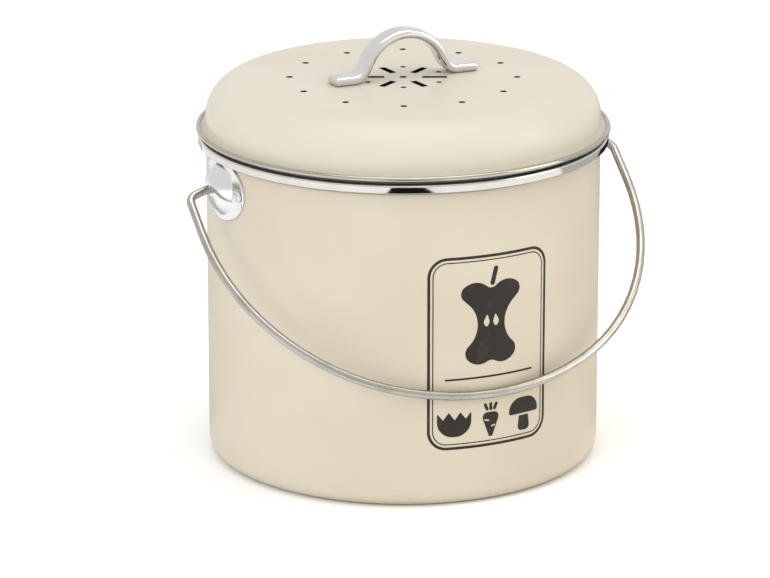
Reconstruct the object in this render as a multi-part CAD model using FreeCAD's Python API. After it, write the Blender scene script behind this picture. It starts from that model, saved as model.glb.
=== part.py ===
import FreeCAD, Part
import math
import os

from FreeCAD import Vector

# Kitchen compost bin: a painted steel pail with a wire bail, a lift-out bucket,
# and a vented lid with a charcoal filter under its vents.
# Millimetres. The origin is the middle of the base, +Z is up,
# +X runs along the bail's pivot axis and -Y is the front.

# Fits
SEAT_GAP = 0.05             # curved faces that sit on each other and are fixed
PIVOT_CLEARANCE = 0.06      # bail wire in the ear's hole, on the radius
REST_GAP = 0.3              # loose pieces that come to rest near each other

# Pail
PAIL_RADIUS = 90.6          # outside of the wall
PAIL_HEIGHT = 152.0         # top of the rim band
PAIL_SHEET = 0.8
PAIL_CORNER = 7.0           # outside radius from base to wall
FOOT_WIDTH = 6.0            # flat ring that the pail stands on
BASE_RECESS = 2.0           # middle of the base above the foot ring
BASE_STEP = 45.0            # degrees of the step from foot ring to middle

# Rim band
RIM_REACH = 3.7             # outer face of the band beyond the wall
RIM_DEPTH = 4.0
RIM_SHEET = 0.8
RIM_ROUND = 1.1
RIM_LIP = 1.0               # lip turned in under the band

# Bail ears
EAR_HALF_WIDTH = 20.0       # oval flange, along the wall
EAR_HALF_HEIGHT = 14.5      # oval flange, its top tucked behind the rim band
EAR_SHEET = 1.0
EAR_DOME_RADIUS = 12.5      # raised middle, where it meets the wall
EAR_DOME_REACH = 7.0        # raised middle, out from the wall
RIVET_OFFSET = 16.3         # rivet from the pivot axis, along the wall
RIVET_SHANK = 1.4           # radius
RIVET_HEAD_RADIUS = 2.7
RIVET_HEAD_HEIGHT = 1.5
RIVET_HEAD_ROUND = 1.4
RIVET_TAIL_RADIUS = 2.0
RIVET_TAIL_HEIGHT = 0.7

# Bail
WIRE_RADIUS = 2.0
BAIL_STANDOFF = 17.4        # middle of the wire's legs, out from the wall
BAIL_DROP = 33.8            # reach of the bail's middle beyond the pail's radius
BAIL_SHOULDER = 100.0       # bend radius between leg and front bow
BAIL_BOW_SLOPE = 24.0       # degrees that the front bow turns on each side
BAIL_STUB_TILT = 3.0        # how far the stub leans before its bend
BAIL_STUB_START = 1.4       # straight wire outside the ear's dome
BAIL_STUB_BEND = 6.0
BAIL_LEG_BEND = 5.0
BAIL_HEAD_RADIUS = 3.2      # flattened end that keeps the wire in its ear
BAIL_HEAD_LENGTH = 1.8
BAIL_HEAD_GAP = 1.5         # head from the pail's wall

# Inner bucket
BUCKET_WALL = 1.6
BUCKET_CLEARANCE = 0.8      # to the rim band, all round
BUCKET_TAPER = 6.0          # radius lost from mouth to floor
BUCKET_FLOOR_GAP = 2.2      # floor above the pail's base
BUCKET_FLOOR = 2.0
BUCKET_CORNER = 8.0
BUCKET_LIP = 5.8            # lip, out from the mouth
BUCKET_LIP_SHEET = 1.4
GRIP_DEPTH = 24.0           # finger ledges below the lip
GRIP_REACH = 11.0           # ledges into the bucket
GRIP_RADIUS = 22.0
GRIP_SHEET = 2.4

# Lid
LID_OVERHANG = 0.2          # lid's side beyond the pail's wall
LID_SHEET = 0.8
LID_CORNER = 17.4           # rounded shoulder
LID_WALL = 2.0              # straight stretch under the shoulder
LID_FLARE = 2.5             # hollow curve out to the edge
LID_BRIM = 0.75             # flat edge from the flare to the middle of the bead
BEAD_WIRE = 2.2             # diameter of the rolled edge
BEAD_LIFT = 1.2             # middle of the bead above the bucket's lip
COLLAR_SHEET = 0.8
COLLAR_CLEARANCE = 0.6      # collar in the bucket's mouth
COLLAR_DEPTH = 7.5          # collar below the top of the lip
SEAL_WIDTH = 3.4

# Vents, as radii from the middle of the lid
VENT_TURN = 4.5             # degrees from the handle's line to the nearest hole of the ring
VENT_RING_RADIUS = 52.1
VENT_RING_COUNT = 12
VENT_RING_HOLE = 1.55
VENT_MIDDLE_HOLE = 1.7
VENT_SLOT_COUNT = 6
VENT_SLOT_START = 8.7
VENT_SLOT_END = 20.0
VENT_SLOT_WIDTH = 3.2
VENT_STAR_RADIUS = 18.7     # small holes between the slots
VENT_STAR_HOLE = 1.35

# Lid handle
HANDLE_RISE = 23.1          # top of the handle above the lid
HANDLE_LENGTH = 72.0
HANDLE_WIDTH = 10.6
HANDLE_SHEET = 4.2
HANDLE_EDGE = 1.9           # rounding of the strap's edges
HANDLE_SLOPE = 62.0         # degrees of the legs
HANDLE_BOW = 20.5           # bend radius at the top, middle of the strap
HANDLE_FOOT_BEND = 6.5      # bend radius at the feet, middle of the strap
SCREW_RADIUS = 2.0
SCREW_BITE = 2.5            # screw's reach into the foot
SCREW_HEAD_RADIUS = 3.6
SCREW_HEAD_HEIGHT = 2.2
SCREW_HEAD_ROUND = 1.2
SCREW_SOCKET = 1.3          # radius of the driver socket
SCREW_SOCKET_DEPTH = 1.2
WASHER_RADIUS = 5.0
WASHER_SHEET = 0.8

# Charcoal filter
FILTER_RADIUS = 59.4
FILTER_HEIGHT = 9.0
FILTER_CLEARANCE = 0.6      # pad in its housing
FILTER_HEADROOM = 1.0       # pad below the screw heads
HOUSING_WALL = 1.8
HOUSING_ARM_WIDTH = 14.0
HOUSING_ARM_SHEET = 1.6
HOUSING_ARM_VENT = 4.0      # radius of the notch in each arm, under a vent
HOUSING_ARM_PAD = 7.0       # arm's length inside the screw
COVER_CLEARANCE = 0.3
COVER_WALL = 1.6
COVER_SKIRT = 6.0           # skirt up round the housing
GRILLE_HUB = 7.0
GRILLE_RIB = 2.4
GRILLE_RINGS = 4
GRILLE_SPOKES = 8

# Places that follow from the sizes
PAIL_INSIDE = PAIL_RADIUS - PAIL_SHEET
RIM_RADIUS = PAIL_RADIUS + RIM_REACH
RIM_INSIDE = PAIL_INSIDE - SEAT_GAP - RIM_SHEET
PIVOT_HEIGHT = PAIL_HEIGHT - RIM_DEPTH - REST_GAP - EAR_DOME_RADIUS
EAR_SEAT = PAIL_RADIUS + SEAT_GAP
BUCKET_RADIUS = RIM_INSIDE - BUCKET_CLEARANCE
BUCKET_MOUTH = BUCKET_RADIUS - BUCKET_WALL
LIP_TOP = PAIL_HEIGHT + BUCKET_LIP_SHEET
LID_RADIUS = PAIL_RADIUS + LID_OVERHANG
BEAD_RADIUS = LID_RADIUS + LID_FLARE + LID_BRIM
BEAD_HEIGHT = LIP_TOP + BEAD_LIFT
LID_EDGE_TOP = BEAD_HEIGHT + LID_SHEET / 2
LID_SHOULDER = LID_EDGE_TOP + LID_FLARE + LID_WALL
LID_TOP = LID_SHOULDER + LID_CORNER
LID_CEILING = LID_TOP - LID_SHEET
COLLAR_RADIUS = BUCKET_MOUTH - COLLAR_CLEARANCE
ARM_UNDERSIDE = LID_CEILING - HOUSING_ARM_SHEET
WASHER_UNDERSIDE = ARM_UNDERSIDE - WASHER_SHEET
SCREW_UNDERSIDE = WASHER_UNDERSIDE - SCREW_HEAD_HEIGHT
FILTER_TOP = SCREW_UNDERSIDE - FILTER_HEADROOM
FILTER_BOTTOM = FILTER_TOP - FILTER_HEIGHT
HOUSING_INSIDE = FILTER_RADIUS + FILTER_CLEARANCE
HOUSING_RADIUS = HOUSING_INSIDE + HOUSING_WALL
COVER_INSIDE = HOUSING_RADIUS + COVER_CLEARANCE

X_AXIS = Vector(1, 0, 0)
Y_AXIS = Vector(0, 1, 0)
Z_AXIS = Vector(0, 0, 1)
ORIGIN = Vector(0, 0, 0)
TINY = 1e-4                 # a run shorter than this is left out of a path


def rounded_edges(corners, closed):
    """Edges through (point, radius) corners, with a tangent arc at each corner that has a radius."""
    count = len(corners)
    arcs = []
    for index, (point, radius) in enumerate(corners):
        at_end = not closed and index in (0, count - 1)
        if radius == 0 or at_end:
            arcs.append((point, None, point))
            continue
        back = (corners[index - 1][0] - point).normalize()
        ahead = (corners[(index + 1) % count][0] - point).normalize()
        half = back.getAngle(ahead) / 2
        reach = radius / math.tan(half)
        middle = point + (back + ahead).normalize() * (radius / math.sin(half) - radius)
        arcs.append((point + back * reach, middle, point + ahead * reach))
    edges = []
    for index, (start, middle, end) in enumerate(arcs):
        if middle is not None:
            edges.append(Part.Arc(start, middle, end).toShape())
        following = index + 1
        if following == count and not closed:
            break
        target = arcs[following % count][0]
        if end.distanceToPoint(target) > TINY:
            edges.append(Part.LineSegment(end, target).toShape())
    return edges


def flat_corners(outline):
    """(radius, height) or (radius, height, rounding) points as corners in the XZ plane."""
    return [(Vector(point[0], 0, point[1]), point[2] if len(point) == 3 else 0) for point in outline]


def turned(outline):
    """Solid turned about Z from a closed outline of (radius, height[, rounding]) points."""
    edges = rounded_edges(flat_corners(outline), True)
    return Part.Face(Part.Wire(edges)).revolve(ORIGIN, Z_AXIS, 360)


def cylinder(radius, base, length, axis=Z_AXIS):
    """Straight round bar from a base point."""
    return Part.makeCylinder(radius, length, base, axis)


def on_both_sides(shape):
    """The shape and its copy turned half round the bin's axis."""
    other = shape.copy()
    other.rotate(ORIGIN, Z_AXIS, 180)
    return [shape, other]


def rivet_angles():
    """Where the two rivets of one ear stand round the pail, in degrees from the ear's middle."""
    turn = math.degrees(RIVET_OFFSET / PAIL_RADIUS)
    return [-turn, turn]


def radial_from_z(shape, angle):
    """Shape made about Z, laid along the pail's radius at an angle from +X, at the pivot's height."""
    placed = shape.copy()
    placed.rotate(ORIGIN, Y_AXIS, 90)
    placed.rotate(ORIGIN, Z_AXIS, angle)
    placed.translate(Z_AXIS * PIVOT_HEIGHT)
    return placed


def rivet_holes():
    """Cutters for the rivet holes of the right-hand ear."""
    drill = cylinder(RIVET_SHANK + SEAT_GAP, Z_AXIS * (PAIL_RADIUS / 2), PAIL_RADIUS)
    return [radial_from_z(drill, angle) for angle in rivet_angles()]


def pail_wall():
    """Drawn shell with a foot ring, a recessed base and a straight wall."""
    wall_top = PAIL_HEIGHT - RIM_SHEET
    foot_inside = PAIL_RADIUS - PAIL_CORNER - FOOT_WIDTH
    step = math.radians(BASE_STEP)
    step_inside = foot_inside - BASE_RECESS / math.tan(step)
    step_shift = PAIL_SHEET * math.tan(step / 2)
    floor_top = BASE_RECESS + PAIL_SHEET
    shell = turned([
        (0, BASE_RECESS),
        (step_inside, BASE_RECESS),
        (foot_inside, 0),
        (PAIL_RADIUS, 0, PAIL_CORNER),
        (PAIL_RADIUS, wall_top),
        (PAIL_INSIDE, wall_top),
        (PAIL_INSIDE, PAIL_SHEET, PAIL_CORNER - PAIL_SHEET),
        (foot_inside + step_shift, PAIL_SHEET),
        (step_inside + step_shift, floor_top),
        (0, floor_top),
    ])
    holes = [side for hole in rivet_holes() for side in on_both_sides(hole)]
    return shell.cut(holes)


def rim_band():
    """Hoop of channel section over the pail's top edge."""
    bottom = PAIL_HEIGHT - RIM_DEPTH
    inner_skirt = PAIL_INSIDE - SEAT_GAP
    web_underside = PAIL_HEIGHT - RIM_SHEET
    lip_inside = RIM_RADIUS - RIM_SHEET - RIM_LIP
    return turned([
        (RIM_INSIDE, bottom),
        (RIM_INSIDE, PAIL_HEIGHT, RIM_SHEET / 2),
        (RIM_RADIUS, PAIL_HEIGHT, RIM_ROUND),
        (RIM_RADIUS, bottom, RIM_SHEET / 2),
        (lip_inside, bottom),
        (lip_inside, bottom + RIM_SHEET),
        (RIM_RADIUS - RIM_SHEET, bottom + RIM_SHEET),
        (RIM_RADIUS - RIM_SHEET, web_underside),
        (inner_skirt, web_underside),
        (inner_skirt, bottom),
    ])


def bail_ear():
    """Right-hand ear: an oval flange that follows the wall, with a hollow dome pierced for the wire."""
    ball = (EAR_DOME_RADIUS ** 2 + EAR_DOME_REACH ** 2) / (2 * EAR_DOME_REACH)
    middle = Vector(PAIL_RADIUS + EAR_DOME_REACH - ball, 0, PIVOT_HEIGHT)
    low = Z_AXIS * (PIVOT_HEIGHT - EAR_HALF_HEIGHT - EAR_SHEET)
    tall = 2 * (EAR_HALF_HEIGHT + EAR_SHEET)
    wall = cylinder(EAR_SEAT, low, tall)
    pivot = Z_AXIS * PIVOT_HEIGHT
    oval = Part.Ellipse(pivot + Y_AXIS * EAR_HALF_WIDTH, pivot + Z_AXIS * EAR_HALF_HEIGHT, pivot)
    blank = Part.Face(Part.Wire(oval.toShape())).extrude(X_AXIS * 2 * PAIL_RADIUS)
    flange = cylinder(EAR_SEAT + EAR_SHEET, low, tall).cut(wall).common(blank)
    dome = Part.makeSphere(ball, middle).cut(wall)
    hollow = Part.makeSphere(ball - EAR_SHEET, middle)
    hole = cylinder(WIRE_RADIUS + PIVOT_CLEARANCE, middle, 2 * ball, X_AXIS)
    return flange.fuse(dome).cut([hollow, hole] + rivet_holes()).removeSplitter()


def ear_rivets():
    """The two rivets of the right-hand ear, each a shank with a domed head and a flat tail."""
    tail_face = PAIL_INSIDE - SEAT_GAP
    head_face = EAR_SEAT + EAR_SHEET + SEAT_GAP
    rivet = turned([
        (0, tail_face - RIVET_TAIL_HEIGHT),
        (RIVET_TAIL_RADIUS, tail_face - RIVET_TAIL_HEIGHT, RIVET_TAIL_HEIGHT / 2),
        (RIVET_TAIL_RADIUS, tail_face),
        (RIVET_SHANK, tail_face),
        (RIVET_SHANK, head_face),
        (RIVET_HEAD_RADIUS, head_face),
        (RIVET_HEAD_RADIUS, head_face + RIVET_HEAD_HEIGHT, RIVET_HEAD_ROUND),
        (0, head_face + RIVET_HEAD_HEIGHT),
    ])
    return Part.makeCompound([radial_from_z(rivet, angle) for angle in rivet_angles()])


def bail_wire():
    """Wire bail at rest on the front wall, with headed ends inside the ears."""
    half_width = PAIL_RADIUS + BAIL_STANDOFF
    reach = PAIL_RADIUS + BAIL_DROP
    lean = math.acos((PAIL_RADIUS + WIRE_RADIUS + REST_GAP) / reach)
    slope = math.radians(BAIL_BOW_SLOPE)
    shoulder_run = BAIL_SHOULDER * math.tan((math.pi / 2 - slope) / 2)
    bow_radius = (half_width / math.cos(slope) - shoulder_run) / math.tan(slope)
    bow_corner = reach + bow_radius * (1 / math.cos(slope) - 1)
    shoulder_corner = bow_corner - half_width * math.tan(slope)
    head_end = PAIL_RADIUS + BAIL_HEAD_GAP
    stub_start = PAIL_RADIUS + EAR_DOME_REACH + BAIL_STUB_START

    def in_plane(across, out):
        return Vector(across, -out * math.cos(lean), PIVOT_HEIGHT - out * math.sin(lean))

    right_side = [
        (in_plane(half_width, shoulder_corner), BAIL_SHOULDER),
        (in_plane(half_width, BAIL_STUB_TILT), BAIL_LEG_BEND),
        (in_plane(stub_start, 0), BAIL_STUB_BEND),
        (in_plane(head_end, 0), 0),
    ]
    left_side = [(Vector(-point.x, point.y, point.z), radius) for point, radius in reversed(right_side)]
    bow = [(in_plane(0, bow_corner), bow_radius)]
    path = Part.Wire(rounded_edges(left_side + bow + right_side, False))
    section = Part.Wire(Part.makeCircle(WIRE_RADIUS, in_plane(-head_end, 0), X_AXIS))
    wire = path.makePipeShell([section], True, False)
    head = cylinder(BAIL_HEAD_RADIUS, in_plane(head_end, 0), BAIL_HEAD_LENGTH, X_AXIS)
    return wire.fuse(on_both_sides(head)).removeSplitter()


def inner_bucket():
    """Tapered plastic bucket that hangs by its lip on the rim band, with two finger ledges."""
    underside = BASE_RECESS + PAIL_SHEET + BUCKET_FLOOR_GAP
    floor_top = underside + BUCKET_FLOOR
    foot = BUCKET_RADIUS - BUCKET_TAPER
    shell = turned([
        (0, underside),
        (foot, underside, BUCKET_CORNER),
        (BUCKET_RADIUS, PAIL_HEIGHT),
        (BUCKET_MOUTH + BUCKET_LIP, PAIL_HEIGHT, BUCKET_LIP_SHEET / 3),
        (BUCKET_MOUTH + BUCKET_LIP, LIP_TOP, BUCKET_LIP_SHEET / 3),
        (BUCKET_MOUTH, LIP_TOP),
        (foot - BUCKET_WALL, floor_top, BUCKET_CORNER - BUCKET_WALL),
        (0, floor_top),
    ])
    ledge_top = LIP_TOP - GRIP_DEPTH
    mouth_at_ledge = BUCKET_MOUTH - BUCKET_TAPER * GRIP_DEPTH / (LIP_TOP - underside)
    ledge_middle = Vector(0, mouth_at_ledge - GRIP_REACH + GRIP_RADIUS, ledge_top - GRIP_SHEET)
    inside = cylinder(mouth_at_ledge + BUCKET_WALL / 2, Z_AXIS * (ledge_top - GRIP_SHEET), GRIP_SHEET)
    ledge = cylinder(GRIP_RADIUS, ledge_middle, GRIP_SHEET).common(inside)
    return shell.fuse(on_both_sides(ledge)).removeSplitter()


def round_pattern(shape, count, first_angle):
    """Copies of a shape spaced evenly about Z."""
    copies = []
    for index in range(count):
        copy = shape.copy()
        copy.rotate(ORIGIN, Z_AXIS, first_angle + index * 360 / count)
        copies.append(copy)
    return copies


def vents():
    """Cutters for the outer ring of holes, the slots, the small holes between them and the middle hole."""
    low = LID_CEILING - LID_SHEET
    tall = 3 * LID_SHEET
    slot_gap = 360 / VENT_SLOT_COUNT
    slot = Part.makeBox(
        VENT_SLOT_END - VENT_SLOT_START,
        VENT_SLOT_WIDTH,
        tall,
        Vector(VENT_SLOT_START, -VENT_SLOT_WIDTH / 2, low),
    )
    ring_hole = cylinder(VENT_RING_HOLE, Vector(VENT_RING_RADIUS, 0, low), tall)
    star_hole = cylinder(VENT_STAR_HOLE, Vector(VENT_STAR_RADIUS, 0, low), tall)
    return (
        round_pattern(ring_hole, VENT_RING_COUNT, VENT_TURN)
        + round_pattern(slot, VENT_SLOT_COUNT, VENT_TURN + slot_gap / 2)
        + round_pattern(star_hole, VENT_SLOT_COUNT, VENT_TURN)
        + [cylinder(VENT_MIDDLE_HOLE, Z_AXIS * low, tall)]
    )


def handle_path():
    """Corners of the middle line of the handle's strap, foot to foot."""
    foot_height = LID_TOP + HANDLE_SHEET / 2
    slope = math.radians(HANDLE_SLOPE)
    top = LID_TOP + HANDLE_RISE - HANDLE_SHEET / 2
    peak = top + HANDLE_BOW * (1 / math.cos(slope) - 1)
    foot_corner = (peak - foot_height) / math.tan(slope)
    half = HANDLE_LENGTH / 2
    return flat_corners([
        (-half, foot_height),
        (-foot_corner, foot_height, HANDLE_FOOT_BEND),
        (0, peak, HANDLE_BOW),
        (foot_corner, foot_height, HANDLE_FOOT_BEND),
        (half, foot_height),
    ])


def screw_offset():
    """Distance of each handle screw from the middle: halfway along the foot's flat."""
    foot_corner = handle_path()[3][0].x
    flat_start = foot_corner + HANDLE_FOOT_BEND * math.tan(math.radians(HANDLE_SLOPE) / 2)
    return (flat_start + HANDLE_LENGTH / 2) / 2


def screw_holes(low, high, radius=SCREW_RADIUS + SEAT_GAP):
    """Cutters for both handle screws between two heights."""
    return on_both_sides(cylinder(radius, Vector(screw_offset(), 0, low), high - low))


def lid_dome():
    """Pressed lid: flat vented top, rounded shoulder, and a hollow flare to the edge."""
    inside = LID_RADIUS - LID_SHEET
    edge_underside = LID_EDGE_TOP - LID_SHEET
    shell = turned([
        (0, LID_TOP),
        (LID_RADIUS, LID_TOP, LID_CORNER),
        (LID_RADIUS, LID_EDGE_TOP, LID_FLARE),
        (BEAD_RADIUS, LID_EDGE_TOP),
        (BEAD_RADIUS, edge_underside),
        (inside, edge_underside, LID_FLARE + LID_SHEET),
        (inside, LID_CEILING, LID_CORNER - LID_SHEET),
        (0, LID_CEILING),
    ])
    return shell.cut(vents() + screw_holes(LID_CEILING - LID_SHEET, LID_TOP + LID_SHEET))


def lid_edge_bead():
    """Round bead with a slot that takes the lid's edge, made of short faces: four quarters of seven arcs."""
    quarters = 4
    arcs = 7
    half = BEAD_WIRE / 2
    slot = LID_SHEET / 2 + SEAT_GAP
    mouth = math.pi - math.asin(slot / half)
    step = 2 * mouth / arcs

    def on_round(turn):
        return Vector(BEAD_RADIUS + half * math.cos(turn), 0, BEAD_HEIGHT + half * math.sin(turn))

    outline = []
    for index in range(arcs):
        start = mouth - index * step
        outline.append(Part.Arc(on_round(start), on_round(start - step / 2), on_round(start - step)).toShape())
    slot_end = BEAD_RADIUS + SEAT_GAP
    outline += Part.makePolygon([
        on_round(-mouth),
        Vector(slot_end, 0, BEAD_HEIGHT - slot),
        Vector(slot_end, 0, BEAD_HEIGHT + slot),
        on_round(mouth),
    ]).Edges
    quarter = Part.Face(Part.Wire(outline)).revolve(ORIGIN, Z_AXIS, 360 / quarters)
    first, *others = round_pattern(quarter, quarters, 0)
    return first.fuse(others)


def lid_collar():
    """Ring inside the lid: a web fixed to the lid's side and a plug that enters the bucket's mouth."""
    web_edge = LID_RADIUS - LID_SHEET - SEAT_GAP
    plug_inside = COLLAR_RADIUS - COLLAR_SHEET
    plug_bottom = LIP_TOP - COLLAR_DEPTH
    web_underside = LID_SHOULDER - COLLAR_SHEET
    return turned([
        (plug_inside, plug_bottom),
        (COLLAR_RADIUS, plug_bottom),
        (COLLAR_RADIUS, web_underside),
        (web_edge, web_underside),
        (web_edge, LID_SHOULDER),
        (plug_inside, LID_SHOULDER),
    ])


def lid_seal():
    """Silicone ring under the collar's web, resting on the bucket's lip."""
    inner = COLLAR_RADIUS + SEAT_GAP
    outer = inner + SEAL_WIDTH
    top = LID_SHOULDER - COLLAR_SHEET
    return turned([(inner, LIP_TOP), (outer, LIP_TOP), (outer, top), (inner, top)])


def lid_handle():
    """Strap bent into a bow with two flat feet, tapped from below for its screws."""
    corners = handle_path()
    start = corners[0][0]
    section_corners = []
    for across, up in ((-1, -1), (1, -1), (1, 1), (-1, 1)):
        offset = Vector(0, across * HANDLE_WIDTH / 2, up * HANDLE_SHEET / 2)
        section_corners.append((start + offset, HANDLE_EDGE))
    section = Part.Wire(rounded_edges(section_corners, True))
    strap = Part.Wire(rounded_edges(corners, False)).makePipeShell([section], True, False)
    return strap.cut(screw_holes(LID_TOP - LID_SHEET, LID_TOP + SCREW_BITE + SEAT_GAP))


def handle_screws():
    """Two pan-head screws that hold the handle, the lid and the filter housing together."""
    screw = turned([
        (SCREW_SOCKET, SCREW_UNDERSIDE),
        (SCREW_HEAD_RADIUS, SCREW_UNDERSIDE, SCREW_HEAD_ROUND),
        (SCREW_HEAD_RADIUS, WASHER_UNDERSIDE),
        (SCREW_RADIUS, WASHER_UNDERSIDE),
        (SCREW_RADIUS, LID_TOP + SCREW_BITE),
        (0, LID_TOP + SCREW_BITE),
        (0, SCREW_UNDERSIDE + SCREW_SOCKET_DEPTH),
        (SCREW_SOCKET, SCREW_UNDERSIDE + SCREW_SOCKET_DEPTH),
    ])
    screw.translate(X_AXIS * screw_offset())
    return Part.makeCompound(on_both_sides(screw))


def handle_washers():
    """Flat washers under the screw heads."""
    washer = cylinder(WASHER_RADIUS, Vector(screw_offset(), 0, WASHER_UNDERSIDE), WASHER_SHEET)
    holes = screw_holes(WASHER_UNDERSIDE - WASHER_SHEET, ARM_UNDERSIDE + WASHER_SHEET)
    return Part.makeCompound([side.cut(holes) for side in on_both_sides(washer)])


def filter_housing():
    """Ring under the vents with two arms that the handle's screws clamp to the lid."""
    ring = turned([
        (HOUSING_INSIDE, FILTER_BOTTOM),
        (HOUSING_RADIUS, FILTER_BOTTOM),
        (HOUSING_RADIUS, LID_CEILING),
        (HOUSING_INSIDE, LID_CEILING),
    ])
    arm_start = screw_offset() - HOUSING_ARM_PAD
    arm = Part.makeBox(
        HOUSING_INSIDE + HOUSING_WALL / 2 - arm_start,
        HOUSING_ARM_WIDTH,
        HOUSING_ARM_SHEET,
        Vector(arm_start, -HOUSING_ARM_WIDTH / 2, ARM_UNDERSIDE),
    )
    vent_low = Vector(VENT_RING_RADIUS, 0, ARM_UNDERSIDE - HOUSING_ARM_SHEET)
    vent = cylinder(HOUSING_ARM_VENT, vent_low, 3 * HOUSING_ARM_SHEET)
    vent.rotate(ORIGIN, Z_AXIS, VENT_TURN)
    holes = on_both_sides(vent) + screw_holes(ARM_UNDERSIDE - WASHER_SHEET, LID_TOP)
    return ring.fuse(on_both_sides(arm)).cut(holes).removeSplitter()


def charcoal_filter():
    """Round carbon pad that rests on the filter cover."""
    return cylinder(FILTER_RADIUS, Z_AXIS * FILTER_BOTTOM, FILTER_HEIGHT)


def grille_windows():
    """Cutters for the cover's windows, in rings between its ribs and spokes."""
    low = FILTER_BOTTOM - 2 * COVER_WALL
    high = FILTER_BOTTOM + COVER_WALL
    pitch = (HOUSING_INSIDE - GRILLE_HUB) / GRILLE_RINGS
    spoke = Part.makeBox(2 * COVER_INSIDE, GRILLE_RIB, high - low, Vector(0, -GRILLE_RIB / 2, low))
    spokes = Part.makeCompound(round_pattern(spoke, GRILLE_SPOKES, 0))
    windows = []
    for ring in range(GRILLE_RINGS):
        inner = GRILLE_HUB + ring * pitch
        outer = inner + pitch - GRILLE_RIB
        window = turned([(inner, low), (outer, low), (outer, high), (inner, high)])
        windows.append(window.cut(spokes))
    return windows


def filter_cover():
    """Snap-on cap with a grille that carries the pad and a skirt round the housing."""
    underside = FILTER_BOTTOM - COVER_WALL
    outer = COVER_INSIDE + COVER_WALL
    skirt_top = FILTER_BOTTOM + COVER_SKIRT
    cap = turned([
        (0, underside),
        (outer, underside, COVER_WALL / 2),
        (outer, skirt_top),
        (COVER_INSIDE, skirt_top),
        (COVER_INSIDE, FILTER_BOTTOM),
        (0, FILTER_BOTTOM),
    ])
    return cap.cut(grille_windows())


def turned_half_round(shape):
    """The left-hand piece that matches a right-hand one."""
    return on_both_sides(shape)[1]


def main():
    """Make every piece and write one file for each."""
    ear = bail_ear()
    rivets = ear_rivets()
    pieces = {
        "pail_wall": pail_wall(),
        "rim_band": rim_band(),
        "right_bail_ear": ear,
        "left_bail_ear": turned_half_round(ear),
        "right_ear_rivets": rivets,
        "left_ear_rivets": turned_half_round(rivets),
        "bail_wire": bail_wire(),
        "inner_bucket": inner_bucket(),
        "lid_dome": lid_dome(),
        "lid_edge_bead": lid_edge_bead(),
        "lid_collar": lid_collar(),
        "lid_seal": lid_seal(),
        "lid_handle": lid_handle(),
        "handle_screws": handle_screws(),
        "handle_washers": handle_washers(),
        "filter_housing": filter_housing(),
        "charcoal_filter": charcoal_filter(),
        "filter_cover": filter_cover(),
    }
    os.makedirs("parts", exist_ok=True)
    for name, shape in pieces.items():
        shape.exportStep(os.path.join("parts", name + ".step"))
        box = shape.BoundBox
        corners = [round(value, 2) for value in (box.XMin, box.YMin, box.ZMin, box.XMax, box.YMax, box.ZMax)]
        print(name, "solids", len(shape.Solids), "valid", shape.isValid(), "volume", round(shape.Volume, 1), corners)


main()
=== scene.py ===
import logging
import math
from dataclasses import dataclass, field
from enum import Enum
from typing import NamedTuple, Sequence

import bmesh
import bpy
from bmesh.types import BMEdge, BMVert
from mathutils import Matrix, Vector


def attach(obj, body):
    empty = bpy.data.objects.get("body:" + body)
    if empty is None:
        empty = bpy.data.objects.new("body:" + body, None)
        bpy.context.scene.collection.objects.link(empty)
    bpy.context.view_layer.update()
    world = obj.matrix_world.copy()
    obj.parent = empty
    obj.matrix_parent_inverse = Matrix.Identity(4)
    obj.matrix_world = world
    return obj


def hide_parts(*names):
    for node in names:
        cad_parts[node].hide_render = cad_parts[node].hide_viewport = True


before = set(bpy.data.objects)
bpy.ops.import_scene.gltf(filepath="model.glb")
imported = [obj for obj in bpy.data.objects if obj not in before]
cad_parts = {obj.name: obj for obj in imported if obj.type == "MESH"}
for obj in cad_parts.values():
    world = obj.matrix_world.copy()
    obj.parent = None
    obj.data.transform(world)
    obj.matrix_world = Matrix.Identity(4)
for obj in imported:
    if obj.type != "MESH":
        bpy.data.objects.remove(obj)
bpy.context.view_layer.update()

# Kitchen compost bin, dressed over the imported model.
# The scene is in metres. Sizes in the classes are in millimetres, as in the part's source.
# The origin is the middle of the base, +Z is up, the bail turns about X and -Y is the front.

MM = 0.001
ORIGIN = Vector((0, 0, 0))
X_AXIS = Vector((1, 0, 0))
Z_AXIS = Vector((0, 0, 1))
ARC_STEP = math.radians(5)      # largest turn between two points of an arc
TURN_STEPS = 192                # points round a turned piece
WELD = 1e-6                     # points nearer than this are one
CRISP = math.radians(20)        # an edge that turns more than this stays crisp

Colour = tuple[float, float, float]
log = logging.getLogger("compost_bin")


# Outlines

class Corner(NamedTuple):
    """A corner of an outline, and the radius of the arc that rounds it."""

    point: Vector
    round: float = 0.0


class Bend(NamedTuple):
    """An arc of an outline, turned about a centre from its start to its end."""

    start: Vector
    end: Vector
    centre: Vector
    axis: Vector
    angle: float


Outline = Sequence[Corner | Bend]
Places = Sequence[tuple[float, float, float]]    # across, along and rounding of corners, in millimetres


def upright(across: float, up: float, rounding: float = 0.0) -> Corner:
    """Corner in the XZ plane, from millimetres."""
    return Corner(Vector((across, 0, up)) * MM, rounding * MM)


def level(across: float, along: float, rounding: float = 0.0) -> Corner:
    """Corner in the XY plane, from millimetres."""
    return Corner(Vector((across, along, 0)) * MM, rounding * MM)


def rectangle(left: float, right: float, low: float, high: float, rounding: float) -> list[Corner]:
    """Corners of a rectangle in the XY plane, anticlockwise, from millimetres."""
    places = ((left, low), (right, low), (right, high), (left, high))
    return [level(across, along, rounding) for across, along in places]


def mirrored(corners: Places) -> Places:
    """The same corners on the other side of the middle, in the opposite order."""
    return [(-across, along, rounding) for across, along, rounding in reversed(corners)]


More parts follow.
